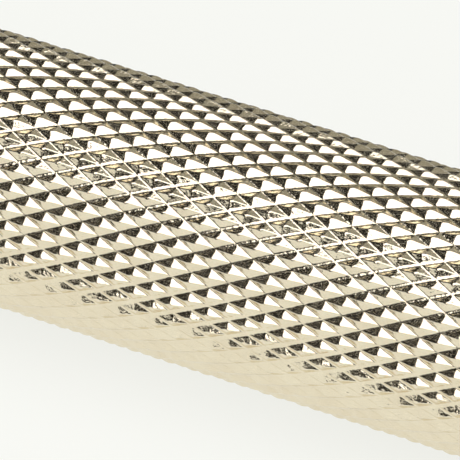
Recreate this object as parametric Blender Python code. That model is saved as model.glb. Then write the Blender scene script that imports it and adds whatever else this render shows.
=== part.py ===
"""Double-ended engineer's scriber, lying along X on two hexagonal flanges.

A knurled, bored handle carries a collet chuck at each end. The front chuck (+X) holds a straight
carbide-tipped point that slides back into the handle, and the rear chuck (-X) holds a point bent
through a right angle. Each chuck is a screwed-in body with a hexagonal flange, a slit collet and a nut.

Lengths are in metres. The pieces of a chuck are drawn in its own frame: U runs outward along the
handle's axis and is zero at the handle's end face.
"""

import math

import bmesh
import bpy
from mathutils import Matrix, Vector

MM = 0.001
TURN = 2 * math.pi

# Running and seating clearances
SEAT_GAP = 0.05 * MM
RUNNING_GAP = 0.10 * MM

# Handle
HANDLE_LENGTH = 90.0 * MM
HANDLE_RADIUS = 5.0 * MM
END_BAND_LENGTH = 2.5 * MM
END_BAND_RADIUS = 4.55 * MM
END_CHAMFER = 0.4 * MM
BORE_RADIUS = 2.2 * MM
COUNTERBORE_RADIUS = 3.5 * MM
COUNTERBORE_DEPTH = 9.5 * MM
PLUG_LENGTH = 6.0 * MM
PLUG_CHAMFER = 0.3 * MM

# Chuck body
STEM_LENGTH = 9.0 * MM
THREAD_RADIUS = COUNTERBORE_RADIUS - RUNNING_GAP
THREAD_CHAMFER = 0.3 * MM
RELIEF_RADIUS = 3.0 * MM
RELIEF_LENGTH = 0.9 * MM
FLANGE_ACROSS_FLATS = 11.0 * MM
FLANGE_LENGTH = 6.0 * MM
FLANGE_FACE_RADIUS = 5.3 * MM
FLANGE_CHAMFER_ANGLE = math.radians(30)
FLANGE_BLANK_OVERSIZE = 1.03
CHUCK_BORE_RADIUS = 1.75 * MM
SOCKET_RADIUS = 2.45 * MM
SOCKET_START = 4.5 * MM
SOCKET_END = 12.2 * MM
MOUTH_RADIUS = 3.0 * MM
BODY_END = 14.0 * MM

# Collet
COLLET_START = 4.9 * MM
COLLET_SHOULDER = 14.5 * MM
COLLET_END = 17.6 * MM
COLLET_SHOULDER_RADIUS = MOUTH_RADIUS - RUNNING_GAP
COLLET_NOSE_RADIUS = 2.05 * MM
SLIT_WIDTH = 0.4 * MM
SLIT_START = 7.0 * MM
SLITS = 2
SLIT_ROLL = math.radians(45)

# Chuck nut
NUT_START = 6.6 * MM
NUT_GRIP_END = 13.8 * MM
NUT_CONE_START = 14.2 * MM
NUT_END = 20.0 * MM
NUT_INNER_CONE_END = 18.0 * MM
NUT_RADIUS = 4.6 * MM
NUT_SHOULDER_RADIUS = 4.1 * MM
NUT_NOSE_RADIUS = 2.6 * MM
NUT_CHAMFER = 0.35 * MM
NUT_BORE_RADIUS = 1.85 * MM

# Points
SHANK_RADIUS = 1.6 * MM
GRIP_RADIUS = SHANK_RADIUS + SEAT_GAP
POINT_TAIL = -10.0 * MM
POINT_CHAMFER = 0.3 * MM
TAPER_START = 46.0 * MM
TAPER_END = 66.0 * MM
TAPER_RADIUS = 1.0 * MM
TIP_RADIUS = 0.7 * MM
TIP_SEAT_DEPTH = 4.0 * MM
TIP_CONE_LENGTH = 3.6 * MM
STRAIGHT_REACH = 72.0 * MM
BEND_START = 42.0 * MM
BEND_RADIUS = 5.0 * MM
LEG_REACH = 25.0 * MM
LEG_TAPER_START = 9.0 * MM
POINT_END_RADIUS = 0.06 * MM

# Facets of the turned pieces, the angle that counts as a sharp edge and the merging distance
HANDLE_SIDES = 60
CHUCK_SIDES = 36
POINT_SIDES = 24
BEND_STEPS = 9
SHARP_ANGLE = math.radians(25)
MERGE_DISTANCE = 0.0001 * MM

# Place of the handle's middle, which centres the whole tool's box over the origin
FLANGE_CORNER_RADIUS = FLANGE_ACROSS_FLATS / math.sqrt(3)
FRONT_REACH = HANDLE_LENGTH / 2 + STRAIGHT_REACH
REAR_REACH = HANDLE_LENGTH / 2 + BEND_START + BEND_RADIUS + SHANK_RADIUS
HANDLE_PLACE = Vector((
    (REAR_REACH - FRONT_REACH) / 2,
    (LEG_REACH - FLANGE_CORNER_RADIUS) / 2,
    FLANGE_ACROSS_FLATS / 2,
))

# name: (base colour, roughness)
FINISHES = {
    "nickel": ((0.78, 0.74, 0.66), 0.16),
    "bright_steel": ((0.60, 0.60, 0.61), 0.25),
    "hardened_steel": ((0.42, 0.42, 0.44), 0.30),
    "carbide": ((0.20, 0.20, 0.22), 0.35),
}


def clear_scene():
    for thing in list(bpy.data.objects):
        bpy.data.objects.remove(thing, do_unlink=True)


def metal(finish):
    """The finish's Principled material, made once."""
    found = bpy.data.materials.get(finish)
    if found:
        return found
    colour, roughness = FINISHES[finish]
    material = bpy.data.materials.new(finish)
    material.use_nodes = True
    surface = material.node_tree.nodes["Principled BSDF"]
    surface.inputs["Base Color"].default_value = (*colour, 1)
    surface.inputs["Metallic"].default_value = 1
    surface.inputs["Roughness"].default_value = roughness
    return material


def make_object(name, bm, finish, parent):
    """A smooth-shaded object from a bmesh, with its sharp edges kept."""
    bmesh.ops.remove_doubles(bm, verts=bm.verts, dist=MERGE_DISTANCE)
    bmesh.ops.recalc_face_normals(bm, faces=bm.faces)
    mesh = bpy.data.meshes.new(name)
    bm.to_mesh(mesh)
    bm.free()
    mesh.shade_smooth()
    mesh.set_sharp_from_angle(angle=SHARP_ANGLE)
    mesh.materials.append(metal(finish))
    piece = bpy.data.objects.new(name, mesh)
    bpy.context.collection.objects.link(piece)
    piece.parent = parent
    return piece


def turned(name, profile, sides, finish, parent):
    """A solid turned about X from a closed outline of (u, radius) points."""
    bm = bmesh.new()
    points = [bm.verts.new((u, radius, 0)) for u, radius in profile]
    edges = [bm.edges.new((a, b)) for a, b in zip(points, points[1:])]
    if min(profile[0][1], profile[-1][1]) > 0:
        edges.append(bm.edges.new((points[-1], points[0])))
    bmesh.ops.spin(
        bm, geom=points + edges, cent=(0, 0, 0), axis=(1, 0, 0), angle=TURN, steps=sides,
        use_merge=True, use_duplicate=False,
    )
    return make_object(name, bm, finish, parent)


def swept(name, stations, sides, finish, parent):
    """A round bar through stations of (centre, direction, radius) that lie in the XY plane."""
    bm = bmesh.new()
    rings = []
    for centre, direction, radius in stations:
        across = Vector((0, 0, 1)).cross(direction)
        ring = []
        for i in range(sides):
            angle = TURN * i / sides
            offset = across * math.cos(angle) + Vector((0, 0, 1)) * math.sin(angle)
            ring.append(bm.verts.new(centre + offset * radius))
        rings.append(ring)
    for near, far in zip(rings, rings[1:]):
        for i in range(sides):
            bm.faces.new((near[i], near[i - 1], far[i - 1], far[i]))
    for ring in (rings[0], rings[-1]):
        bm.faces.new(ring)
    return make_object(name, bm, finish, parent)


def cut_with(piece, cutter, operation):
    """Adds a Boolean to piece, and hides its cutter."""
    cutter.hide_render = True
    cutter.display_type = "WIRE"
    boolean = piece.modifiers.new(cutter.name, "BOOLEAN")
    boolean.operation = operation
    boolean.solver = "EXACT"
    boolean.object = cutter


def box_cutter(name, low, high, roll, parent):
    """A box between two corners, rolled about X."""
    bm = bmesh.new()
    bmesh.ops.create_cube(bm, size=1)
    size = Vector(high) - Vector(low)
    middle = (Vector(high) + Vector(low)) / 2
    place = Matrix.Rotation(roll, 4, "X") @ Matrix.Translation(middle) @ Matrix.Diagonal((*size, 1))
    bmesh.ops.transform(bm, matrix=place, verts=bm.verts)
    return make_object(name, bm, "bright_steel", parent)


def handle_tube(axis):
    """The bored bar, with a plain band and a counterbore for the chuck's stem at each end."""
    end = HANDLE_LENGTH / 2
    half = [
        (end - END_BAND_LENGTH - END_CHAMFER, HANDLE_RADIUS),
        (end - END_BAND_LENGTH, END_BAND_RADIUS),
        (end - END_CHAMFER, END_BAND_RADIUS),
        (end, END_BAND_RADIUS - END_CHAMFER),
        (end, COUNTERBORE_RADIUS),
        (end - COUNTERBORE_DEPTH, COUNTERBORE_RADIUS),
        (end - COUNTERBORE_DEPTH, BORE_RADIUS),
    ]
    mirrored = [(-u, radius) for u, radius in reversed(half)]
    turned("handle_tube", half + mirrored, HANDLE_SIDES, "nickel", axis)


def centre_plug(axis):
    """The plug pressed into the middle of the bore, which stops both points."""
    end, radius = PLUG_LENGTH / 2, BORE_RADIUS - SEAT_GAP
    profile = [
        (-end, 0), (-end, radius - PLUG_CHAMFER), (-end + PLUG_CHAMFER, radius),
        (end - PLUG_CHAMFER, radius), (end, radius - PLUG_CHAMFER), (end, 0),
    ]
    turned("centre_plug", profile, POINT_SIDES, "bright_steel", axis)


def chuck_body(end_name, chuck):
    """Screwed into the handle, with a hexagonal flange, a thread for the nut and the collet's socket."""
    flange_start, flange_end = SEAT_GAP, SEAT_GAP + FLANGE_LENGTH
    blank_radius = FLANGE_CORNER_RADIUS * FLANGE_BLANK_OVERSIZE
    chamfer = (blank_radius - FLANGE_FACE_RADIUS) * math.tan(FLANGE_CHAMFER_ANGLE)
    profile = [
        (-STEM_LENGTH, THREAD_RADIUS - THREAD_CHAMFER),
        (-STEM_LENGTH + THREAD_CHAMFER, THREAD_RADIUS),
        (flange_start, THREAD_RADIUS),
        (flange_start, FLANGE_FACE_RADIUS),
        (flange_start + chamfer, blank_radius),
        (flange_end - chamfer, blank_radius),
        (flange_end, FLANGE_FACE_RADIUS),
        (flange_end, RELIEF_RADIUS),
        (flange_end + RELIEF_LENGTH, RELIEF_RADIUS),
        (flange_end + RELIEF_LENGTH + THREAD_CHAMFER, THREAD_RADIUS),
        (BODY_END - THREAD_CHAMFER, THREAD_RADIUS),
        (BODY_END, THREAD_RADIUS - THREAD_CHAMFER),
        (BODY_END, MOUTH_RADIUS),
        (SOCKET_END, SOCKET_RADIUS),
        (SOCKET_START, SOCKET_RADIUS),
        (SOCKET_START, CHUCK_BORE_RADIUS),
        (-STEM_LENGTH, CHUCK_BORE_RADIUS),
    ]
    body = turned(f"{end_name}_chuck_body", profile, CHUCK_SIDES, "nickel", chuck)
    bm = bmesh.new()
    bmesh.ops.create_cone(
        bm, cap_ends=True, segments=6, radius1=FLANGE_CORNER_RADIUS, radius2=FLANGE_CORNER_RADIUS,
        depth=2 * (BODY_END + STEM_LENGTH),
    )
    bmesh.ops.rotate(bm, matrix=Matrix.Rotation(math.pi / 2, 3, "Y"), verts=bm.verts)
    flats = make_object(f"{end_name}_flange_flats", bm, "nickel", chuck)
    cut_with(body, flats, "INTERSECT")


def collet(end_name, slider):
    """The slit collet that the nut presses into the body's tapered mouth."""
    outer = SOCKET_RADIUS - RUNNING_GAP
    profile = [
        (COLLET_START, outer),
        (SOCKET_END, outer),
        (BODY_END, COLLET_SHOULDER_RADIUS),
        (COLLET_SHOULDER, COLLET_SHOULDER_RADIUS),
        (COLLET_END, COLLET_NOSE_RADIUS),
        (COLLET_END, GRIP_RADIUS),
        (COLLET_START, GRIP_RADIUS),
    ]
    piece = turned(f"{end_name}_collet", profile, POINT_SIDES, "bright_steel", slider)
    reach = 2 * MOUTH_RADIUS
    for i in range(SLITS):
        slit = box_cutter(
            f"{end_name}_collet_slit_{i + 1}", (SLIT_START, -reach, -SLIT_WIDTH / 2),
            (COLLET_END + SLIT_WIDTH, reach, SLIT_WIDTH / 2), SLIT_ROLL + math.pi * i / SLITS, slider,
        )
        cut_with(piece, slit, "DIFFERENCE")


def chuck_nut(end_name, slider):
    """The nut, whose inner cone closes the collet as it screws along the body."""
    slope = (COLLET_NOSE_RADIUS - COLLET_SHOULDER_RADIUS) / (COLLET_END - COLLET_SHOULDER)
    inner_cone_end_radius = MOUTH_RADIUS + slope * (NUT_INNER_CONE_END - COLLET_SHOULDER)
    profile = [
        (NUT_START, NUT_RADIUS - NUT_CHAMFER),
        (NUT_START + NUT_CHAMFER, NUT_RADIUS),
        (NUT_GRIP_END - NUT_CHAMFER, NUT_RADIUS),
        (NUT_GRIP_END, NUT_RADIUS - NUT_CHAMFER),
        (NUT_GRIP_END, NUT_SHOULDER_RADIUS),
        (NUT_CONE_START, NUT_SHOULDER_RADIUS),
        (NUT_END - NUT_CHAMFER, NUT_NOSE_RADIUS),
        (NUT_END, NUT_NOSE_RADIUS - NUT_CHAMFER),
        (NUT_END, NUT_BORE_RADIUS),
        (NUT_INNER_CONE_END, NUT_BORE_RADIUS),
        (NUT_INNER_CONE_END, inner_cone_end_radius),
        (COLLET_SHOULDER, MOUTH_RADIUS),
        (COLLET_SHOULDER, COUNTERBORE_RADIUS),
        (NUT_START, COUNTERBORE_RADIUS),
    ]
    turned(f"{end_name}_chuck_nut", profile, CHUCK_SIDES, "nickel", slider)


def straight_point(slider):
    """The sliding steel point, and the carbide tip brazed into a hole in its end."""
    hole_end = TAPER_END - TIP_SEAT_DEPTH - SEAT_GAP
    profile = [
        (POINT_TAIL, 0),
        (POINT_TAIL, SHANK_RADIUS - POINT_CHAMFER),
        (POINT_TAIL + POINT_CHAMFER, SHANK_RADIUS),
        (TAPER_START, SHANK_RADIUS),
        (TAPER_END, TAPER_RADIUS),
        (TAPER_END, TIP_RADIUS + SEAT_GAP),
        (hole_end, TIP_RADIUS + SEAT_GAP),
        (hole_end, 0),
    ]
    turned("straight_point", profile, POINT_SIDES, "hardened_steel", slider)
    tip = [
        (TAPER_END - TIP_SEAT_DEPTH, 0),
        (TAPER_END - TIP_SEAT_DEPTH, TIP_RADIUS),
        (STRAIGHT_REACH - TIP_CONE_LENGTH, TIP_RADIUS),
        (STRAIGHT_REACH, POINT_END_RADIUS),
        (STRAIGHT_REACH, 0),
    ]
    turned("carbide_tip", tip, POINT_SIDES, "carbide", slider)


def bent_point(swivel):
    """The point with a leg at a right angle, which turns in its collet about the handle's axis."""
    along, sideways = Vector((1, 0, 0)), Vector((0, 1, 0))
    stations = [
        (along * POINT_TAIL, along, SHANK_RADIUS - POINT_CHAMFER),
        (along * (POINT_TAIL + POINT_CHAMFER), along, SHANK_RADIUS),
    ]
    bend_centre = along * BEND_START + sideways * BEND_RADIUS
    for step in range(BEND_STEPS + 1):
        angle = math.pi / 2 * step / BEND_STEPS
        direction = along * math.cos(angle) + sideways * math.sin(angle)
        spoke = along * math.sin(angle) - sideways * math.cos(angle)
        stations.append((bend_centre + spoke * BEND_RADIUS, direction, SHANK_RADIUS))
    leg_foot = along * (BEND_START + BEND_RADIUS)
    stations.append((leg_foot + sideways * LEG_TAPER_START, sideways, SHANK_RADIUS))
    stations.append((leg_foot + sideways * LEG_REACH, sideways, POINT_END_RADIUS))
    swept("bent_point", stations, POINT_SIDES, "hardened_steel", swivel)


def empty(name, parent, place=(0, 0, 0), turn=0.0):
    """A guide on the handle's axis, for the pieces that move together."""
    guide = bpy.data.objects.new(name, None)
    bpy.context.collection.objects.link(guide)
    guide.parent = parent
    guide.location = place
    guide.rotation_euler = (0, 0, turn)
    return guide


def build():
    clear_scene()
    axis = empty("handle_axis", None, HANDLE_PLACE)
    handle_tube(axis)
    centre_plug(axis)
    for end_name, side, turn in (("front", 1, 0.0), ("rear", -1, math.pi)):
        chuck = empty(f"{end_name}_chuck", axis, (side * HANDLE_LENGTH / 2, 0, 0), turn)
        chuck_body(end_name, chuck)
        collet(end_name, empty(f"{end_name}_collet_slide", chuck))
        chuck_nut(end_name, empty(f"{end_name}_nut_turn", chuck))
        if end_name == "front":
            straight_point(empty("straight_point_slide", chuck))
        else:
            bent_point(empty("bent_point_turn", chuck))


build()
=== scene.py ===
"""Looks of the double-ended scriber: diamond knurls, warm nickel plate, ground steel and carbide.

Everything is in metres in the CAD frame. A chuck's pieces are drawn in their own frame, as in the
CAD model: u runs outward along the handle's axis from the handle's end face.
"""
import math
import random

import bmesh
import bpy
from mathutils import Matrix, Quaternion, Vector


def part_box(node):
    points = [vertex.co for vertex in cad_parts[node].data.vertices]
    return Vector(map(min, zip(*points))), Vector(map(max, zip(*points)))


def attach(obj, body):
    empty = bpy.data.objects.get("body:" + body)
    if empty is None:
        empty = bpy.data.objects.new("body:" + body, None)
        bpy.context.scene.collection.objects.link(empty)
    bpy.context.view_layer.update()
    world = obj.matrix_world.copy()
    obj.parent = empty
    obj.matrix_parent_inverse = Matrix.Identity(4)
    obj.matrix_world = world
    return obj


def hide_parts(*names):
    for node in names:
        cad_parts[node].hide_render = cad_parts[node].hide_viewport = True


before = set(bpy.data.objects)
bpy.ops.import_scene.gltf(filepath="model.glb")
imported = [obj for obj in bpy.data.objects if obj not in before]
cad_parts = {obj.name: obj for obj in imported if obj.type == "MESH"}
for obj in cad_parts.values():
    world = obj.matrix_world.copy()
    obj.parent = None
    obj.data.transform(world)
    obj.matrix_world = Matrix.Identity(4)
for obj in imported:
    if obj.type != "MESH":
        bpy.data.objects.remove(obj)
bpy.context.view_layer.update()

MM = 0.001
TURN = 2 * math.pi
UP = Vector((0, 0, 1))

# Places, from the frame
handle_low, handle_high = (Vector(corner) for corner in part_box("handle_tube"))
HANDLE_MIDDLE = (handle_low + handle_high) / 2
HANDLE_HALF = (handle_high.x - handle_low.x) / 2
GRIP_RADIUS = (handle_high.z - handle_low.z) / 2
flange_low, flange_high = (Vector(corner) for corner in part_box("front_chuck_body"))
FLANGE_ACROSS_FLATS = flange_high.z - flange_low.z
FRONT_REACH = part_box("carbide_tip")[1][0] - handle_high.x
REAR_REACH = handle_low.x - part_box("bent_point")[0][0]
LEG_REACH = HANDLE_MIDDLE.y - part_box("bent_point")[0][1]
ENDS = {"front": 0.0, "rear": math.pi}

# Knurl: angles, and shares of half the distance between two grooves
KNURL_STARTS = 42
NUT_KNURL_STARTS = 38
KNURL_HELIX = math.radians(24.0)
KNURL_TWIST = 0.028  # way round for each metre along, at the crests
KNURL_FLANK = math.radians(31.6)
GROOVE_SHARE = 0.15
WIDER_SHARE = 0.12
CREST_SHARE = 0.80
GROOVE_RIDGE = 0.14
CREST_RIDGE = 0.12
CREST_DOME = 0.5
CREST_WANDER = 0.07
LIFT_LOW, LIFT_HIGH = -0.05, 0.02  # a cell's height against the others, as a share of its rise
RIDGE, WIDE, NARROW = range(3)
CUT_DISTANCE = 1e-8
RIM_DISTANCE = 1e-6
WELD_DISTANCE = 0.0005 * MM
SHARP_ANGLE = math.radians(30)

# Handle
KNURL_END = 3.1 * MM
END_BAND_RADIUS = 4.55 * MM
END_CHAMFER = 0.4 * MM
BORE_RADIUS = 2.2 * MM
COUNTERBORE_RADIUS = 3.5 * MM
COUNTERBORE_DEPTH = 9.5 * MM

# Chucks
RUNNING_GAP = 0.10 * MM
SEAT_GAP = 0.05 * MM
STEM_LENGTH = 9.0 * MM
THREAD_RADIUS = 3.4 * MM
THREAD_ROOT = 3.02 * MM
THREAD_PITCH = 0.75 * MM
THREAD_SEAT = 2.98 * MM
THREAD_ROWS = 8  # rings for each turn of the thread
THREAD_STEEPNESS = 2.2  # over 2, so that the crests are flat
THREAD_CLEARANCE = 0.05 * MM
RELIEF_RADIUS = 3.0 * MM
RELIEF_LENGTH = 0.9 * MM
RELIEF_FILLET = 0.25 * MM
STEM_CHAMFER = 0.3 * MM
FLANGE_LENGTH = 6.0 * MM
FLANGE_FACE_RADIUS = 5.3 * MM
FLANGE_BLANK = 1.02  # the turned blank against the hexagon's corners
FLANGE_CHAMFER_ANGLE = math.radians(30)
FLANGE_BEVEL = 0.06 * MM
CHUCK_BORE_RADIUS = 1.75 * MM
SOCKET_RADIUS = 2.45 * MM
SOCKET_START = 4.5 * MM
SOCKET_END = 12.2 * MM
MOUTH_RADIUS = 3.0 * MM
BODY_END = 14.0 * MM
COLLET_START = 4.9 * MM
COLLET_SHOULDER = 14.5 * MM
COLLET_END = 17.6 * MM
COLLET_NOSE_RADIUS = 2.05 * MM
COLLET_CHAMFER = 0.15 * MM
SLIT_WIDTH = 0.4 * MM
SLIT_START = 7.0 * MM
NUT_START = 6.6 * MM
NUT_GRIP_END = 13.8 * MM
NUT_END = 20.0 * MM
NUT_RADIUS = 4.6 * MM
NUT_SHOULDER_RADIUS = 4.1 * MM
NUT_NOSE_RADIUS = 2.6 * MM
NUT_BORE_RADIUS = 1.85 * MM
NUT_EDGE = 0.35 * MM
NUT_LIP = 0.12 * MM
NUT_BACK_CHAMFER = 0.15 * MM
NUT_CONE_RUNOUT = 0.4 * MM

# Points
SHANK_RADIUS = 1.6 * MM
POINT_TAIL = -10.0 * MM
TAPER_START = 46.0 * MM
TAPER_END = 66.0 * MM
TAPER_RADIUS = 1.0 * MM
TIP_RADIUS = 0.7 * MM
TIP_SEAT_DEPTH = 4.0 * MM
TIP_CONE_LENGTH = 3.6 * MM
BEND_RADIUS = 5.0 * MM
LEG_TAPER_START = 9.0 * MM
POINT_END_RADIUS = 0.06 * MM
TAIL_ROUNDING = 0.3 * MM
BEND_STEPS = 24
BRAZE_GAP = 0.002 * MM
BRAZE_FILL = 0.048 * MM

# Camera: azimuth, elevation and roll of the view, and the width and distance of the framing.
# The photograph doesn't tell elevation from roll, so the elevation is a choice.
VIEW_AZIMUTH = math.radians(37.7)
VIEW_ELEVATION = math.radians(30)
VIEW_ROLL = math.radians(-3.65)
VIEW_RAISED = 0.376 * MM  # of the picture's centre above the handle's middle
VIEW_WIDTH = 16.93 * MM
VIEW_DISTANCE = 370 * MM
SENSOR_WIDTH = 36.0

# Studio
FLOOR_HALF = 8.0
FLOOR_COLOUR = 0.12, 0.12, 0.118, 1
FLOOR_GLOW_COLOUR = 0.99, 1, 0.955, 1
FLOOR_GLOW = 0.79
ROOM_COLOUR = 0.030, 0.028, 0.026, 1
SOFTBOX_ALONG = math.radians(17)
SOFTBOX_ABOVE_VIEW = math.radians(26.5)
SOFTBOX_RADIUS = 53  # degrees
SOFTBOX_SOFTNESS = 1.5  # degrees either side of its edge
SOFTBOX_LIGHT = 2.2
WALL_COLOUR = 0.33, 0.32, 0.275, 1
WALL_ABOVE_VIEW = math.radians(127)
WALL_RADIUS = 54  # degrees
WALL_SOFTNESS = 4  # degrees either side of its edge
WALL_EDGE = -0.65, -0.55  # where it fades out along the handle, as the direction's x

rng = random.Random(7)


# Materials

class Nodes:
    """Short calls for building one material's or world's node tree."""

    def __init__(self, tree):
        self.tree = tree

    def add(self, kind, inputs=(), **settings):
        node = self.tree.nodes.new(f"ShaderNode{kind}")
        for name, value in settings.items():
            setattr(node, name, value)
        for name, value in dict(inputs).items():
            self.set(node.inputs[name], value)
        return node

    def set(self, socket, value):
        if isinstance(value, bpy.types.NodeSocket):
            self.tree.links.new(value, socket)
        else:
            socket.default_value = value

    def noise(self, scale, detail=3.0, stretch=(1, 1, 1)):
        """A noise from 0 to 1 in the piece's own metres, with scale in features per metre."""
        own = self.add("TexCoord").outputs["Object"]
        place = self.add("Mapping", {"Vector": own, "Scale": stretch}).outputs[0]
        found = self.add("TexNoise", {"Vector": place, "Scale": scale, "Detail": detail})
        return found.outputs["Fac"]

    def span(self, value, low, high, to_low, to_high, kind="LINEAR"):
        """A value's stretch from low to high, spread from to_low to to_high."""
        limits = {"From Min": low, "From Max": high, "To Min": to_low, "To Max": to_high}
        found = self.add("MapRange", {"Value": value, **limits}, interpolation_type=kind)
        return found.outputs["Result"]

    def mixed(self, factor, first, second, blend="MIX"):
        node = self.add("Mix", data_type="RGBA", blend_type=blend)
        for name, value in (("Factor", factor), ("A", first), ("B", second)):
            socket = next(s for s in node.inputs if s.name == name and s.enabled)
            self.set(socket, value)
        return next(s for s in node.outputs if s.enabled)

    def bump(self, height, distance, normal=None):
        node = self.add("Bump", {"Height": height, "Distance": distance, "Strength": 1.0})
        if normal:
            self.set(node.inputs["Normal"], normal)
        return node.outputs["Normal"]


def surface(name):
    """A new material, as its nodes and its Principled shader."""
    material = bpy.data.materials.new(name)
    material.use_nodes = True
    return material, Nodes(material.node_tree), material.node_tree.nodes["Principled BSDF"]


def metal(nodes, shader, factor, first, second):
    """Makes a shader metallic, with a colour mixed from two by a factor."""
    nodes.set(shader.inputs["Base Color"], nodes.mixed(factor, (*first, 1), (*second, 1)))
    shader.inputs["Metallic"].default_value = 1


def nickel_plate():
    """Warm bright nickel, with a fine orange peel and faint tarnish."""
    material, nodes, shader = surface("nickel_plate")
    tarnish = nodes.span(nodes.noise(900), 0.35, 0.7, 0, 1)
    metal(nodes, shader, tarnish, (0.83, 0.75, 0.58), (0.79, 0.70, 0.53))
    grain = nodes.noise(22000, 2.0)
    pits = nodes.span(nodes.noise(42000, 1.0), 0.66, 0.76, 1, 0)
    nodes.set(shader.inputs["Roughness"], nodes.span(nodes.noise(6000), 0.3, 0.7, 0.035, 0.085))
    waves = nodes.bump(nodes.noise(5500, 2.0), 0.015 * MM)
    peel = nodes.bump(grain, 0.0012 * MM, waves)
    nodes.set(shader.inputs["Normal"], nodes.bump(pits, 0.007 * MM, peel))
    return material


def turned_nickel():
    """The same plate over lathe marks, on the plain turned faces."""
    material, nodes, shader = surface("turned_nickel_plate")
    tarnish = nodes.span(nodes.noise(700), 0.35, 0.7, 0, 1)
    metal(nodes, shader, tarnish, (0.83, 0.75, 0.58), (0.76, 0.67, 0.52))
    marks = nodes.noise(1500, 4.0, (14, 0.6, 0.6))
    nodes.set(shader.inputs["Roughness"], nodes.span(marks, 0.3, 0.7, 0.10, 0.20))
    nodes.set(shader.inputs["Normal"], nodes.bump(marks, 0.004 * MM))
    return material


def turned_steel():
    """Bright steel with lathe marks."""
    material, nodes, shader = surface("turned_steel")
    marks = nodes.noise(1300, 4.0, (16, 0.6, 0.6))
    metal(nodes, shader, marks, (0.50, 0.50, 0.51), (0.66, 0.66, 0.67))
    nodes.set(shader.inputs["Roughness"], nodes.span(marks, 0.3, 0.7, 0.20, 0.34))
    nodes.set(shader.inputs["Normal"], nodes.bump(marks, 0.005 * MM))
    return material


def ground_steel():
    """Hardened steel, ground bright, with fine rings and a few grey temper clouds."""
    material, nodes, shader = surface("ground_steel")
    clouds = nodes.span(nodes.noise(160, 4.0), 0.4, 0.7, 0, 1)
    metal(nodes, shader, clouds, (0.50, 0.49, 0.48), (0.36, 0.345, 0.33))
    rings = nodes.noise(2500, 3.0, (12, 0.5, 0.5))
    nodes.set(shader.inputs["Roughness"], nodes.span(rings, 0.3, 0.7, 0.18, 0.32))
    nodes.set(shader.inputs["Normal"], nodes.bump(rings, 0.003 * MM))
    return material


def carbide():
    """Dark tungsten carbide with a fine ground grain."""
    material, nodes, shader = surface("carbide")
    grain = nodes.noise(9000, 4.0, (3, 1, 1))
    metal(nodes, shader, grain, (0.16, 0.16, 0.17), (0.27, 0.27, 0.29))
    nodes.set(shader.inputs["Roughness"], nodes.span(grain, 0.3, 0.7, 0.28, 0.42))
    nodes.set(shader.inputs["Normal"], nodes.bump(grain, 0.002 * MM))
    return material


def braze():
    """The thin pale-gold fillet of silver solder round the carbide."""
    material, nodes, shader = surface("braze")
    grain = nodes.noise(8000)
    metal(nodes, shader, grain, (0.72, 0.62, 0.42), (0.60, 0.50, 0.32))
    shader.inputs["Roughness"].default_value = 0.35
    nodes.set(shader.inputs["Normal"], nodes.bump(grain, 0.006 * MM))
    return material


NICKEL = nickel_plate()
TURNED_NICKEL = turned_nickel()
TURNED_STEEL = turned_steel()
GROUND_STEEL = ground_steel()
CARBIDE = carbide()
BRAZE = braze()


# Meshes

def add_piece(name, bm, materials, end=None):
    """An object from a bmesh, in the handle's frame or in the chuck frame of one end."""
    bmesh.ops.recalc_face_normals(bm, faces=bm.faces)
    mesh = bpy.data.meshes.new(name)
    bm.to_mesh(mesh)
    bm.free()
    for material in materials:
        mesh.materials.append(material)
    piece = bpy.data.objects.new(name, mesh)
    bpy.context.collection.objects.link(piece)
    place = Matrix.Translation(HANDLE_MIDDLE)
    if end:
        place = place @ Matrix.Rotation(ENDS[end], 4, "Z") @ Matrix.Translation((HANDLE_HALF, 0, 0))
    piece.matrix_world = place
    return piece


def finish_piece(piece, body, node, sharp=30):
    """Smooth shading up to a sharp angle, and the piece's body and CAD node."""
    piece.data.shade_smooth()
    piece.data.set_sharp_from_angle(angle=math.radians(sharp))
    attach(piece, body)
    if node:
        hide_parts(node)
    return piece


def round_edges(piece, width, angle=30):
    """Rounds the sharp edges and keeps the flat faces flat."""
    bevel = piece.modifiers.new("edges", "BEVEL")
    bevel.width = width
    bevel.segments = 2
    bevel.limit_method = "ANGLE"
    bevel.angle_limit = math.radians(angle)
    bevel.harden_normals = True


def applied(piece):
    """Replaces a piece's mesh by what its modifiers give, and drops them."""
    bpy.context.view_layer.update()
    depsgraph = bpy.context.evaluated_depsgraph_get()
    mesh = bpy.data.meshes.new_from_object(piece.evaluated_get(depsgraph))
    piece.modifiers.clear()
    piece.data = mesh


def cut_with(piece, cutter, operation):
    """Cuts a piece with another, which is used up, and welds the result."""
    boolean = piece.modifiers.new("cut", "BOOLEAN")
    boolean.operation = operation
    boolean.solver = "EXACT"
    boolean.object = cutter
    applied(piece)
    bpy.data.objects.remove(cutter, do_unlink=True)
    bm = bmesh.new()
    bm.from_mesh(piece.data)
    bmesh.ops.remove_doubles(bm, verts=bm.verts, dist=WELD_DISTANCE)
    bm.to_mesh(piece.data)
    bm.free()


def lathe(profile, sides):
    """A bmesh turned about X from (u, radius) points, closed unless they end on the axis."""
    bm = bmesh.new()
    points = [bm.verts.new((u, radius, 0)) for u, radius in profile]
    edges = [bm.edges.new((a, b)) for a, b in zip(points, points[1:])]
    if min(profile[0][1], profile[-1][1]) > 0:
        edges.append(bm.edges.new((points[-1], points[0])))
    bmesh.ops.spin(
        bm, geom=points + edges, cent=(0, 0, 0), axis=(1, 0, 0), angle=TURN, steps=sides,
        use_merge=True, use_duplicate=False,
    )
    bmesh.ops.remove_doubles(bm, verts=bm.verts, dist=WELD_DISTANCE)
    return bm


def arc(centre, radius, start, stop, steps):
    """Points of a rounded corner in (u, radius), for a lathe outline."""
    angles = [math.radians(start + (stop - start) * i / steps) for i in range(steps + 1)]
    return [(centre[0] + radius * math.cos(a), centre[1] + radius * math.sin(a)) for a in angles]


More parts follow.
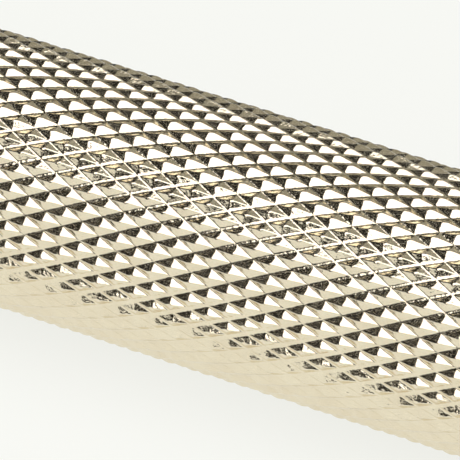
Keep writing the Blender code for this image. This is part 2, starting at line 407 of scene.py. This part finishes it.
def swept(stations, sides):
    """A bmesh bar through (centre, direction, radius) stations that lie in the XY plane."""
    bm = bmesh.new()
    rings = []
    for centre, direction, radius in stations:
        across = UP.cross(direction)
        angles = [TURN * i / sides for i in range(sides)]
        spokes = [across * math.cos(a) + UP * math.sin(a) for a in angles]
        rings.append([bm.verts.new(centre + spoke * radius) for spoke in spokes])
    for near, far in zip(rings, rings[1:]):
        for i in range(sides):
            bm.faces.new((near[i], near[i - 1], far[i - 1], far[i]))
    for ring in (rings[0], rings[-1]):
        bm.faces.new(ring)
    return bm


def knurled_band(low, high, radius, starts):
    """A bmesh band of diamonds between two sets of crossing grooves, cut square at low and high.

    In a cell, p and q run from -1 to 1 between its two wide grooves and its two narrow ones, and
    its height climbs from every groove at the same slope. Groove floors and crests are blunted,
    and the ridge between neighbouring flanks is split in two so that it is slightly rounded. Each
    face is marked with its kind of groove and as flank or not, for the shading. A slight twist
    about the axis makes the two sets' helix angles differ.
    """
    step_round = TURN / (2 * starts)
    step_along = step_round * radius / math.tan(KNURL_HELIX)
    rise = step_round * radius * math.cos(KNURL_HELIX) * math.tan(KNURL_FLANK)
    lip_height = (GROOVE_SHARE / 2 + WIDER_SHARE) * rise
    crest_height = (CREST_SHARE - GROOVE_SHARE / 2) * rise
    peak_height = crest_height + (1 - CREST_SHARE) * CREST_DOME * rise
    floor_radius = radius - peak_height
    middle = (low + high) / 2
    columns = math.ceil((high - low) / 2 / step_along) + 1
    bm = bmesh.new()
    groove_mark = bm.faces.layers.int.new("groove")
    flank_mark = bm.faces.layers.int.new("flank")

    def point(i, j, p, q, height):
        along = (i + (p + q) / 2) * step_along
        angle = (j + (p - q) / 2) * step_round - KNURL_TWIST * along / radius
        r = floor_radius + height
        return bm.verts.new((middle + along, r * math.cos(angle), r * math.sin(angle)))

    def face(groove, flank, *verts):
        made = bm.faces.new(verts)
        made[groove_mark], made[flank_mark] = groove, flank

    def add_cell(i, j):
        def corners(p, q, height):
            """One point in each quarter of the cell, by the signs of its p and q."""
            signs = [(a, b) for a in (1, -1) for b in (1, -1)]
            return {(a, b): point(i, j, a * p, b * q, height) for a, b in signs}

        lip_p, lip_q = 1 - GROOVE_SHARE - WIDER_SHARE, 1 - GROOVE_SHARE
        crest_p, crest_q = 1 - CREST_SHARE, 1 - CREST_SHARE + WIDER_SHARE
        lift = rng.uniform(LIFT_LOW, LIFT_HIGH) * rise
        crossing = corners(1, 1, 0)
        wide_lip = corners(lip_p, lip_q - GROOVE_RIDGE, lip_height)
        narrow_lip = corners(lip_p - GROOVE_RIDGE, lip_q, lip_height)
        wide_crest = corners(crest_p, crest_q - CREST_RIDGE, crest_height + lift)
        narrow_crest = corners(crest_p - CREST_RIDGE, crest_q, crest_height + lift)
        wander = [rng.uniform(-CREST_WANDER, CREST_WANDER) for _ in range(2)]
        peak = point(i, j, *wander, peak_height + lift)
        for side in (1, -1):
            for groove, lip, crest, (one, other) in (
                (WIDE, wide_lip, wide_crest, ((side, 1), (side, -1))),
                (NARROW, narrow_lip, narrow_crest, ((1, side), (-1, side))),
            ):
                face(groove, 0, crossing[one], crossing[other], lip[other], lip[one])
                face(groove, 1, lip[one], lip[other], crest[other], crest[one])
                face(RIDGE, 0, crest[one], crest[other], peak)
        for quarter in crossing:
            lips = wide_lip[quarter], narrow_lip[quarter]
            crests = wide_crest[quarter], narrow_crest[quarter]
            face(RIDGE, 0, crossing[quarter], *lips)
            face(RIDGE, 0, *lips, *reversed(crests))
            face(RIDGE, 0, *crests, peak)

    for i in range(-columns, columns + 1):
        for j in range(2 * starts):
            if (i + j) % 2:
                add_cell(i, j)
    bmesh.ops.remove_doubles(bm, verts=bm.verts, dist=WELD_DISTANCE)
    bmesh.ops.recalc_face_normals(bm, faces=bm.faces)
    for place, outward in ((low, -1), (high, 1)):
        geometry = bm.verts[:] + bm.edges[:] + bm.faces[:]
        bmesh.ops.bisect_plane(
            bm, geom=geometry, dist=CUT_DISTANCE, plane_co=(place, 0, 0),
            plane_no=(outward, 0, 0), clear_outer=True,
        )
    bmesh.ops.remove_doubles(bm, verts=bm.verts, dist=WELD_DISTANCE)
    return bm


def rim(bm, side):
    """The open edges on one side (+1 or -1) of the middle of a band."""
    open_edges = [edge for edge in bm.edges if edge.is_boundary]
    middle = sum(vert.co.x for edge in open_edges for vert in edge.verts) / (2 * len(open_edges))
    return [edge for edge in open_edges if (edge.verts[0].co.x - middle) * side > 0]


def extend(bm, edges, profile, material_index):
    """Runs an open rim on through rings at each (u, radius), keeping every point's angle."""
    for u, radius in profile:
        made = bmesh.ops.extrude_edge_only(bm, edges=edges)["geom"]
        for vert in (part for part in made if isinstance(part, bmesh.types.BMVert)):
            out = Vector((0, vert.co.y, vert.co.z)).normalized() * radius
            vert.co = (u, out.y, out.z)
        for face in (part for part in made if isinstance(part, bmesh.types.BMFace)):
            face.material_index = material_index
        edges = [part for part in made if isinstance(part, bmesh.types.BMEdge)]
    return edges


# Pieces

def flatten_flanks(mesh):
    """Keeps every knurl flank flat, so that the normal only turns over ridges and groove floors.

    A face takes, at each corner, the normals of the flanks that meet there and belong to its own
    groove, or of the faces that meet there if none does.
    """
    grooves = [mark.value for mark in mesh.attributes["groove"].data]
    flanks = [mark.value for mark in mesh.attributes["flank"].data]
    knurl = [face for face in mesh.polygons if face.material_index == 0]
    around = [[] for _ in mesh.vertices]
    for face in knurl:
        for index in face.vertices:
            around[index].append(face.index)
    directions = [face.normal.copy() for face in mesh.polygons]
    normals = [corner.vector.copy() for corner in mesh.corner_normals]
    for face in knurl:
        own = grooves[face.index]
        for corner, index in zip(face.loop_indices, face.vertices):
            near = [k for k in around[index] if own == RIDGE or grooves[k] == own]
            near = [k for k in near if flanks[k]] or near
            normals[corner] = sum((directions[k] for k in near), Vector()).normalized()
    mesh.normals_split_custom_set(normals)


def shade_knurled(piece, body, node):
    """Hard edges on the turned faces, flat flanks on the knurl, and its place in the frame."""
    bm = bmesh.new()
    bm.from_mesh(piece.data)
    for face in bm.faces:
        face.smooth = True
    for edge in bm.edges:
        turned = any(face.material_index == 1 for face in edge.link_faces)
        edge.smooth = not (turned and edge.calc_face_angle(0) > SHARP_ANGLE)
    bm.to_mesh(piece.data)
    bm.free()
    flatten_flanks(piece.data)
    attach(piece, body)
    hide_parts(node)


def make_grip():
    """The handle: knurl, plain end bands, counterbores and bore."""
    knurl_end = HANDLE_HALF - KNURL_END
    bm = knurled_band(-knurl_end, knurl_end, GRIP_RADIUS, KNURL_STARTS)
    rims = []
    for side in (1, -1):
        profile = [
            (knurl_end + END_CHAMFER * 1.2, END_BAND_RADIUS),
            (HANDLE_HALF - END_CHAMFER, END_BAND_RADIUS),
            (HANDLE_HALF, END_BAND_RADIUS - END_CHAMFER),
            (HANDLE_HALF, COUNTERBORE_RADIUS),
            (HANDLE_HALF - COUNTERBORE_DEPTH, COUNTERBORE_RADIUS),
            (HANDLE_HALF - COUNTERBORE_DEPTH, BORE_RADIUS),
        ]
        rims += extend(bm, rim(bm, side), [(side * u, radius) for u, radius in profile], 1)
    bore = bmesh.ops.bridge_loops(bm, edges=rims)["faces"]
    for face in bore:
        face.material_index = 1
    piece = add_piece("grip", bm, (NICKEL, TURNED_NICKEL))
    shade_knurled(piece, "handle", "handle_tube")


def thread_band(low, high, sides=64):
    """A helical V thread as a closed sleeve of rings whose radius follows the thread."""
    bm = bmesh.new()
    rows = round((high - low) / THREAD_PITCH * THREAD_ROWS)
    angles = [TURN * i / sides for i in range(sides)]
    depth = THREAD_RADIUS - THREAD_ROOT

    def ring(u, radii):
        return [bm.verts.new((u, r * math.cos(a), r * math.sin(a))) for r, a in zip(radii, angles)]

    rings = [ring(low, [THREAD_SEAT] * sides)]
    for row in range(rows + 1):
        u = low + (high - low) * row / rows
        phases = [(u / THREAD_PITCH - i / sides) % 1 for i in range(sides)]
        crests = [min(1, THREAD_STEEPNESS * min(phase, 1 - phase)) for phase in phases]
        rings.append(ring(u, [THREAD_ROOT + depth * crest for crest in crests]))
    rings.append(ring(high, [THREAD_SEAT] * sides))
    for near, far in zip(rings, rings[1:] + rings[:1]):
        for i in range(sides):
            bm.faces.new((near[i], near[i - 1], far[i - 1], far[i]))
    return bm


def make_chuck_body(end):
    """The stem, hexagonal flange, relief groove, nut thread and collet socket."""
    start, stop = SEAT_GAP, SEAT_GAP + FLANGE_LENGTH
    corner = FLANGE_ACROSS_FLATS / math.sqrt(3)
    blank = corner * FLANGE_BLANK
    chamfer = (blank - FLANGE_FACE_RADIUS) * math.tan(FLANGE_CHAMFER_ANGLE)
    relief_end = stop + RELIEF_LENGTH
    fillet_radius = RELIEF_RADIUS + RELIEF_FILLET
    profile = [
        (-STEM_LENGTH, THREAD_ROOT),
        (-STEM_LENGTH + STEM_CHAMFER, THREAD_RADIUS),
        (start, THREAD_RADIUS),
        (start, FLANGE_FACE_RADIUS),
        (start + chamfer, blank),
        (stop - chamfer, blank),
        (stop, FLANGE_FACE_RADIUS),
        (stop, fillet_radius),
        *arc((stop + RELIEF_FILLET, fillet_radius), RELIEF_FILLET, 180, 270, 4),
        (relief_end, RELIEF_RADIUS),
    ]
    bore = [
        (BODY_END, RELIEF_RADIUS),
        (SOCKET_END, SOCKET_RADIUS),
        (SOCKET_START, SOCKET_RADIUS),
        (SOCKET_START, CHUCK_BORE_RADIUS),
        (-STEM_LENGTH, CHUCK_BORE_RADIUS),
    ]
    blank_mesh = lathe(profile + bore, 96)
    piece = add_piece(f"{end}_chuck_flange", blank_mesh, (TURNED_NICKEL,), end)
    bm = bmesh.new()
    bmesh.ops.create_cone(
        bm, cap_ends=True, segments=6, radius1=corner, radius2=corner, depth=60 * MM,
    )
    bmesh.ops.rotate(bm, matrix=Matrix.Rotation(math.pi / 2, 3, "Y"), verts=bm.verts)
    cut_with(piece, add_piece("flats", bm, (), end), "INTERSECT")
    round_edges(piece, FLANGE_BEVEL)
    finish_piece(piece, "handle", f"{end}_chuck_body")
    sleeve = thread_band(relief_end, BODY_END - THREAD_CLEARANCE)
    thread = add_piece(f"{end}_chuck_thread", sleeve, (TURNED_NICKEL,), end)
    finish_piece(thread, "handle", None, 50)


def make_collet(end):
    """The collet with four slits, which reaches from the body's socket into the nut's nose."""
    outer = SOCKET_RADIUS - RUNNING_GAP
    shoulder = MOUTH_RADIUS - RUNNING_GAP
    profile = [
        (COLLET_START, outer - COLLET_CHAMFER),
        (COLLET_START + COLLET_CHAMFER, outer),
        (SOCKET_END, outer),
        (BODY_END, shoulder),
        (COLLET_SHOULDER, shoulder),
        (COLLET_END, COLLET_NOSE_RADIUS),
        (COLLET_END, SHANK_RADIUS + SEAT_GAP),
        (COLLET_START, SHANK_RADIUS + SEAT_GAP),
    ]
    piece = add_piece(f"{end}_collet_jaws", lathe(profile, 64), (TURNED_STEEL,), end)
    for turn in (math.pi / 4, -math.pi / 4):
        bm = bmesh.new()
        bmesh.ops.create_cube(bm, size=1)
        slit_end = COLLET_END + SLIT_WIDTH
        size = (slit_end - SLIT_START, 4 * MOUTH_RADIUS, SLIT_WIDTH)
        middle = Matrix.Translation(((slit_end + SLIT_START) / 2, 0, 0))
        place = Matrix.Rotation(turn, 4, "X") @ middle @ Matrix.Diagonal((*size, 1))
        bmesh.ops.transform(bm, matrix=place, verts=bm.verts)
        cut_with(piece, add_piece("slit", bm, (), end), "DIFFERENCE")
    finish_piece(piece, f"{end}_collet", f"{end}_collet")


def make_chuck_nut(end):
    """The knurled nut with its conical nose, hollow for the thread and the collet's cone."""
    grip_low, grip_high = NUT_START + NUT_EDGE, NUT_GRIP_END - NUT_EDGE
    bm = knurled_band(grip_low, grip_high, NUT_RADIUS, NUT_KNURL_STARTS)
    slope = (COLLET_NOSE_RADIUS - MOUTH_RADIUS + RUNNING_GAP) / (COLLET_END - COLLET_SHOULDER)
    cone_end = COLLET_END + NUT_CONE_RUNOUT
    front = extend(bm, rim(bm, 1), [
        (NUT_GRIP_END, NUT_RADIUS - NUT_EDGE),
        (NUT_GRIP_END + 0.02 * MM, NUT_SHOULDER_RADIUS - NUT_LIP),
        (NUT_GRIP_END + 0.30 * MM, NUT_SHOULDER_RADIUS - NUT_LIP),
        (NUT_GRIP_END + 0.42 * MM, NUT_SHOULDER_RADIUS),
        (NUT_GRIP_END + 0.60 * MM, NUT_SHOULDER_RADIUS),
        (NUT_END - NUT_EDGE, NUT_NOSE_RADIUS),
        *arc((NUT_END - NUT_EDGE, NUT_NOSE_RADIUS - NUT_EDGE), NUT_EDGE, 60, 0, 4),
        (NUT_END, NUT_BORE_RADIUS + NUT_LIP),
        (NUT_END - NUT_LIP, NUT_BORE_RADIUS),
        (cone_end, NUT_BORE_RADIUS),
        (cone_end, MOUTH_RADIUS + slope * (cone_end - COLLET_SHOULDER)),
        (COLLET_SHOULDER, MOUTH_RADIUS),
        (COLLET_SHOULDER, COUNTERBORE_RADIUS),
    ], 1)
    back = extend(bm, rim_at(bm, grip_low), [
        (NUT_START, NUT_RADIUS - NUT_EDGE),
        (NUT_START, COUNTERBORE_RADIUS + NUT_BACK_CHAMFER),
        (NUT_START + NUT_BACK_CHAMFER, COUNTERBORE_RADIUS),
    ], 1)
    for face in bmesh.ops.bridge_loops(bm, edges=front + back)["faces"]:
        face.material_index = 1
    piece = add_piece(f"{end}_nut", bm, (NICKEL, TURNED_NICKEL), end)
    shade_knurled(piece, f"{end}_chuck_nut", f"{end}_chuck_nut")


def rim_at(bm, u):
    """The open edges that lie at one place along the axis."""
    near = [edge for edge in bm.edges if edge.is_boundary]
    return [edge for edge in near if all(abs(vert.co.x - u) < RIM_DISTANCE for vert in edge.verts)]


def make_straight_point():
    """The steel point, its brazed joint and the carbide tip."""
    profile = [
        (POINT_TAIL, 0),
        (POINT_TAIL, SHANK_RADIUS - TAIL_ROUNDING),
        *arc((POINT_TAIL + TAIL_ROUNDING, SHANK_RADIUS - TAIL_ROUNDING), TAIL_ROUNDING, 180, 90, 5),
        (TAPER_START - 1.0 * MM, SHANK_RADIUS),
        (TAPER_START, SHANK_RADIUS - 0.012 * MM),
        (TAPER_END - 0.1 * MM, TAPER_RADIUS + 0.02 * MM),
        (TAPER_END, TAPER_RADIUS - 0.05 * MM),
        (TAPER_END, TIP_RADIUS + SEAT_GAP),
        (TAPER_END - TIP_SEAT_DEPTH - SEAT_GAP, TIP_RADIUS + SEAT_GAP),
        (TAPER_END - TIP_SEAT_DEPTH - SEAT_GAP, 0),
    ]
    shank = add_piece("straight_shank", lathe(profile, 72), (GROUND_STEEL,), "front")
    finish_piece(shank, "straight_point", "straight_point")
    tip_profile = [
        (TAPER_END - TIP_SEAT_DEPTH, 0),
        (TAPER_END - TIP_SEAT_DEPTH, TIP_RADIUS),
        (FRONT_REACH - TIP_CONE_LENGTH, TIP_RADIUS),
        (FRONT_REACH - 0.02 * MM, POINT_END_RADIUS * 0.6),
        (FRONT_REACH, 0),
    ]
    tip = add_piece("ground_carbide_tip", lathe(tip_profile, 48), (CARBIDE,), "front")
    finish_piece(tip, "straight_point", "carbide_tip", 12)
    fillet = [
        (TAPER_END - 0.3 * MM, TIP_RADIUS + BRAZE_GAP),
        (TAPER_END - 0.3 * MM, TIP_RADIUS + BRAZE_FILL),
        (TAPER_END + 0.003 * MM, TIP_RADIUS + BRAZE_FILL),
        (TAPER_END + 0.003 * MM, TIP_RADIUS + 0.16 * MM),
        (TAPER_END + 0.08 * MM, TIP_RADIUS + 0.07 * MM),
        (TAPER_END + 0.22 * MM, TIP_RADIUS + BRAZE_GAP),
    ]
    ring = add_piece("braze_fillet", lathe(fillet, 48), (BRAZE,), "front")
    finish_piece(ring, "straight_point", None, 40)


def make_bent_point():
    """The point bent through a right angle, with its leg ground to a long taper."""
    along, sideways = Vector((1, 0, 0)), Vector((0, 1, 0))
    bend_start = REAR_REACH - SHANK_RADIUS - BEND_RADIUS
    tail = [(POINT_TAIL, 0.75), (POINT_TAIL + 0.1 * MM, 0.93), (POINT_TAIL + TAIL_ROUNDING, 1.0)]
    stations = [(along * u, along, SHANK_RADIUS * share) for u, share in tail]
    stations += [(along * bend_start * share, along, SHANK_RADIUS) for share in (0.25, 0.5, 0.75)]
    bend_centre = along * bend_start + sideways * BEND_RADIUS
    for step in range(BEND_STEPS + 1):
        angle = math.pi / 2 * step / BEND_STEPS
        direction = along * math.cos(angle) + sideways * math.sin(angle)
        spoke = along * math.sin(angle) - sideways * math.cos(angle)
        stations.append((bend_centre + spoke * BEND_RADIUS, direction, SHANK_RADIUS))
    foot = along * (bend_start + BEND_RADIUS)
    taper = LEG_REACH - LEG_TAPER_START
    for share in (0, 0.05, 0.3, 0.6, 0.85, 0.97, 1):
        radius = SHANK_RADIUS + (POINT_END_RADIUS - SHANK_RADIUS) * share
        stations.append((foot + sideways * (LEG_TAPER_START + taper * share), sideways, radius))
    piece = add_piece("bent_shank", swept(stations, 48), (GROUND_STEEL,), "rear")
    finish_piece(piece, "bent_point", "bent_point", 35)


# Stage

def make_floor():
    """A plain pale floor that gives off part of its own light, as a light table does."""
    bm = bmesh.new()
    bmesh.ops.create_grid(bm, x_segments=1, y_segments=1, size=FLOOR_HALF)
    mesh = bpy.data.meshes.new("floor")
    bm.to_mesh(mesh)
    bm.free()
    floor = bpy.data.objects.new("floor", mesh)
    bpy.context.collection.objects.link(floor)
    material, nodes, shader = surface("floor")
    shader.inputs["Base Color"].default_value = FLOOR_COLOUR
    shader.inputs["Roughness"].default_value = 1
    shader.inputs["Specular IOR Level"].default_value = 0
    shader.inputs["Emission Color"].default_value = FLOOR_GLOW_COLOUR
    shader.inputs["Emission Strength"].default_value = FLOOR_GLOW
    mesh.materials.append(material)


def make_camera():
    """A camera at the viewing angle estimated from the photograph."""
    level = math.cos(VIEW_ELEVATION)
    back = Vector((
        math.sin(VIEW_AZIMUTH) * level, -math.cos(VIEW_AZIMUTH) * level, math.sin(VIEW_ELEVATION),
    ))
    lens = bpy.data.cameras.new("camera")
    lens.sensor_width = SENSOR_WIDTH
    lens.lens = SENSOR_WIDTH * VIEW_DISTANCE / VIEW_WIDTH
    lens.clip_start = 0.01
    camera = bpy.data.objects.new("camera", lens)
    bpy.context.collection.objects.link(camera)
    camera.rotation_mode = "QUATERNION"
    camera.rotation_quaternion = back.to_track_quat("Z", "Y") @ Quaternion((0, 0, 1), VIEW_ROLL)
    raised = camera.rotation_quaternion @ Vector((0, VIEW_RAISED, 0))
    camera.location = HANDLE_MIDDLE + raised + back * VIEW_DISTANCE
    bpy.context.scene.camera = camera


def make_studio_light():
    """A dark room with one large round soft light before the handle and a dim wall behind it."""
    world = bpy.data.worlds.new("studio")
    bpy.context.scene.world = world
    world.use_nodes = True
    world.node_tree.nodes.clear()
    nodes = Nodes(world.node_tree)
    way = nodes.add("TexCoord").outputs["Generated"]

    def disc(along, above, radius, softness):
        """1 towards a direction, falling to 0 round a radius in degrees."""
        towards = (
            math.sin(along), -math.cos(along) * math.cos(above), math.cos(along) * math.sin(above),
        )
        dot = nodes.add("VectorMath", operation="DOT_PRODUCT")
        nodes.set(dot.inputs[0], way)
        nodes.set(dot.inputs[1], towards)
        limits = [math.cos(math.radians(radius + side * softness)) for side in (1, -1)]
        return nodes.span(dot.outputs["Value"], *limits, 0, 1, "SMOOTHSTEP")

    view_above = math.atan2(math.tan(VIEW_ELEVATION), math.cos(VIEW_AZIMUTH))
    softbox_above, wall_above = view_above + SOFTBOX_ABOVE_VIEW, view_above + WALL_ABOVE_VIEW
    softbox = disc(SOFTBOX_ALONG, softbox_above, SOFTBOX_RADIUS, SOFTBOX_SOFTNESS)
    back_wall = disc(0, wall_above, WALL_RADIUS, WALL_SOFTNESS)
    along = nodes.add("SeparateXYZ", {"Vector": way}).outputs["X"]
    inside = nodes.add("Math", operation="MULTIPLY")
    nodes.set(inside.inputs[0], back_wall)
    nodes.set(inside.inputs[1], nodes.span(along, *WALL_EDGE, 0, 1))
    colour = nodes.mixed(inside.outputs[0], ROOM_COLOUR, WALL_COLOUR)
    colour = nodes.mixed(softbox, colour, (SOFTBOX_LIGHT, SOFTBOX_LIGHT, SOFTBOX_LIGHT, 1))
    background = nodes.add("Background", {"Color": colour})
    nodes.add("OutputWorld", {"Surface": background.outputs[0]})


make_floor()
make_camera()
make_studio_light()
bpy.context.scene.view_settings.view_transform = "Standard"

make_grip()
for end_name in ENDS:
    make_chuck_body(end_name)
    make_collet(end_name)
    make_chuck_nut(end_name)
make_straight_point()
make_bent_point()
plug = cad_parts["centre_plug"]
plug.data.materials.clear()
plug.data.materials.append(TURNED_STEEL)
